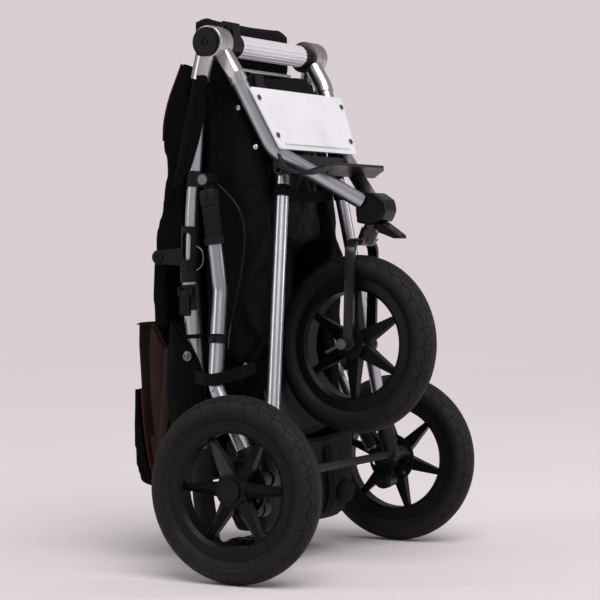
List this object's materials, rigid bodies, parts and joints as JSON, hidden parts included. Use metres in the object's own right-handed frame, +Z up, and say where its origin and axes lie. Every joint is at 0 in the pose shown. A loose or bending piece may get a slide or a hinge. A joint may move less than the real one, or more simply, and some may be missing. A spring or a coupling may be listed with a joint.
{
  "type": "pet stroller",
  "caption": "Folded three-wheel pet stroller: tube frame, spoked wheels, swivelling front fork, fold grip, cloth cabin, canopy, basket and telescoping handlebar.",
  "frame": {"origin": "on the floor below the middle of the rear axle, between the rear wheels", "axes": "+Z up, -Y the side of the front wheel, +X the pusher's left"},
  "size_m": [0.6474, 0.4886, 0.9152],
  "materials": {
    "silver_tube": "satin anodised",
    "cast_silver": "brushed",
    "plate_white": "fine satin",
    "black_moulding": "matte moulded",
    "black_gloss": "gloss moulded",
    "black_metal": "powder coated",
    "steel": "zinc plated",
    "dark_steel": "blackened",
    "tyre": "matte rubber",
    "rubber": "ribbed rubber",
    "foam_grip": "closed-cell foam",
    "black_cloth": "woven nylon",
    "padded_cloth": "padded weave",
    "brown_felt": "napped brown cloth",
    "grey_mesh": "open weave"
  },
  "bodies": {
    "rear_frame": {"rear_leg_right": "silver_tube", "rear_leg_left": "silver_tube", "leg_knuckles": "black_moulding", "leg_boots": "rubber", "leg_bands": "black_moulding", "axle_carrier_right": "black_metal", "axle_carrier_left": "black_metal", "axle_stubs": "steel", "suspensions": "black_metal", "link_shaft": "black_metal", "basket": "grey_mesh", "brake_cable": "black_gloss"},
    "handle_frame": {"handle_hub_right": "cast_silver", "handle_hub_left": "cast_silver", "hub_caps": "black_gloss", "handle_tube_right": "silver_tube", "handle_tube_left": "silver_tube", "handle_sleeve_right": "silver_tube", "handle_sleeve_left": "silver_tube", "pivot_clamps": "black_moulding", "pivot_bolts": "dark_steel", "lock_collars": "black_moulding", "clip_mounts": "black_moulding", "side_plates": "black_moulding", "crossbar_core": "steel", "crossbar_collars": "black_moulding", "seat_pack": "black_cloth", "seat_panel": "padded_cloth", "storage_pouch": "brown_felt"},
    "fold_grip": {"fold_grip": "cast_silver", "fold_latch": "black_gloss"},
    "canopy": {"canopy": "black_cloth"},
    "front_frame": {"front_hub_right": "cast_silver", "front_hub_left": "cast_silver", "front_tube_right": "silver_tube", "front_tube_left": "silver_tube", "badge_plate": "plate_white", "plate_screws": "dark_steel", "mudguard": "black_moulding", "link_brackets": "black_metal", "steering_housing": "black_gloss"},
    "swivel_lever": {"swivel_lever": "black_gloss"},
    "fork": {"fork": "black_metal", "front_axle": "dark_steel"},
    "front_wheel": {"front_tyre": "tyre", "front_rim": "black_moulding"},
    "link_right": {"lower_link_right": "silver_tube", "link_ends_right": "black_metal"},
    "link_left": {"lower_link_left": "silver_tube", "link_ends_left": "black_metal"},
    "rear_wheel_right": {"rear_tyre_right": "tyre", "rear_rim_right": "black_moulding"},
    "rear_wheel_left": {"rear_tyre_left": "tyre", "rear_rim_left": "black_moulding"},
    "handlebar": {"handlebar_arms": "silver_tube", "handlebar_grip": "foam_grip", "brake_mount": "black_moulding"},
    "brake_lever": {"brake_lever": "black_metal"},
    "clip_lever_right": {"clip_lever_right": "black_gloss"},
    "clip_lever_left": {"clip_lever_left": "black_gloss"}
  },
  "joints": [
    {"name": "fold", "type": "hinge", "parent": "rear_frame", "child": "handle_frame", "pos_m": [0, 0.1145, 0.642], "axis": [1, 0, 0], "range_deg": [0, 96]},
    {"name": "front_fold", "type": "hinge", "parent": "handle_frame", "child": "front_frame", "pos_m": [0, 0.114, 0.867], "axis": [1, 0, 0], "range_deg": [-146.8, 0.1]},
    {"name": "link_fold_right", "type": "hinge", "parent": "rear_frame", "child": "link_right", "pos_m": [-0.224, -0.024, 0.163], "axis": [1, 0, 0], "range_deg": [-0.1, 43.1]},
    {"name": "link_fold_left", "type": "hinge", "parent": "rear_frame", "child": "link_left", "pos_m": [0.224, -0.024, 0.163], "axis": [1, 0, 0], "range_deg": [-0.1, 43.1]},
    {"name": "rear_spin_right", "type": "hinge", "parent": "rear_frame", "child": "rear_wheel_right", "pos_m": [-0.297, 0, 0.15], "axis": [1, 0, 0], "continuous": true},
    {"name": "rear_spin_left", "type": "hinge", "parent": "rear_frame", "child": "rear_wheel_left", "pos_m": [0.297, 0, 0.15], "axis": [1, 0, 0], "continuous": true},
    {"name": "fork_swivel", "type": "hinge", "parent": "front_frame", "child": "fork", "pos_m": [0, -0.1, 0.585], "axis": [0, -0.361, 0.9326], "range_deg": [-24, 36]},
    {"name": "front_spin", "type": "hinge", "parent": "fork", "child": "front_wheel", "pos_m": [-0.00551, -0.06871, 0.36911], "axis": [0.9937, -0.1048, -0.0406], "continuous": true},
    {"name": "swivel_lock", "type": "hinge", "parent": "front_frame", "child": "swivel_lever", "pos_m": [0, -0.114, 0.568], "axis": [1, 0, 0], "range_deg": [-20, 0]},
    {"name": "grip_twist", "type": "hinge", "parent": "handle_frame", "child": "fold_grip", "pos_m": [0, 0.114, 0.867], "axis": [1, 0, 0], "range_deg": [0, 25], "stiffness_Nm_per_rad": 0.3, "springref_deg": -28.65},
    {"name": "canopy_swing", "type": "hinge", "parent": "handle_frame", "child": "canopy", "pos_m": [0, 0.207, 0.515], "axis": [1, 0, 0], "range_deg": [-70, 0]},
    {"name": "handlebar_slide", "type": "slide", "parent": "handle_frame", "child": "handlebar", "axis": [0, -0.0673, -0.9977], "range_m": [0, 0.1]},
    {"name": "brake_squeeze", "type": "hinge", "parent": "handlebar", "child": "brake_lever", "pos_m": [-0.054, 0.103, 0.03], "axis": [0, 0, 1], "range_deg": [0, 8], "stiffness_Nm_per_rad": 0.5, "springref_deg": -17.19},
    {"name": "clip_right", "type": "hinge", "parent": "handle_frame", "child": "clip_lever_right", "pos_m": [-0.205, 0.15, 0.459], "axis": [0, 1, 0], "range_deg": [0, 80]},
    {"name": "clip_left", "type": "hinge", "parent": "handle_frame", "child": "clip_lever_left", "pos_m": [0.205, 0.15, 0.459], "axis": [0, -1, 0], "range_deg": [0, 80]}
  ],
  "couplings": [
    {"joint": "front_fold", "follows": "fold", "ratio": -1.5277},
    {"joint": "link_fold_right", "follows": "fold", "ratio": 0.44758},
    {"joint": "link_fold_left", "follows": "fold", "ratio": 0.44758}
  ]
}
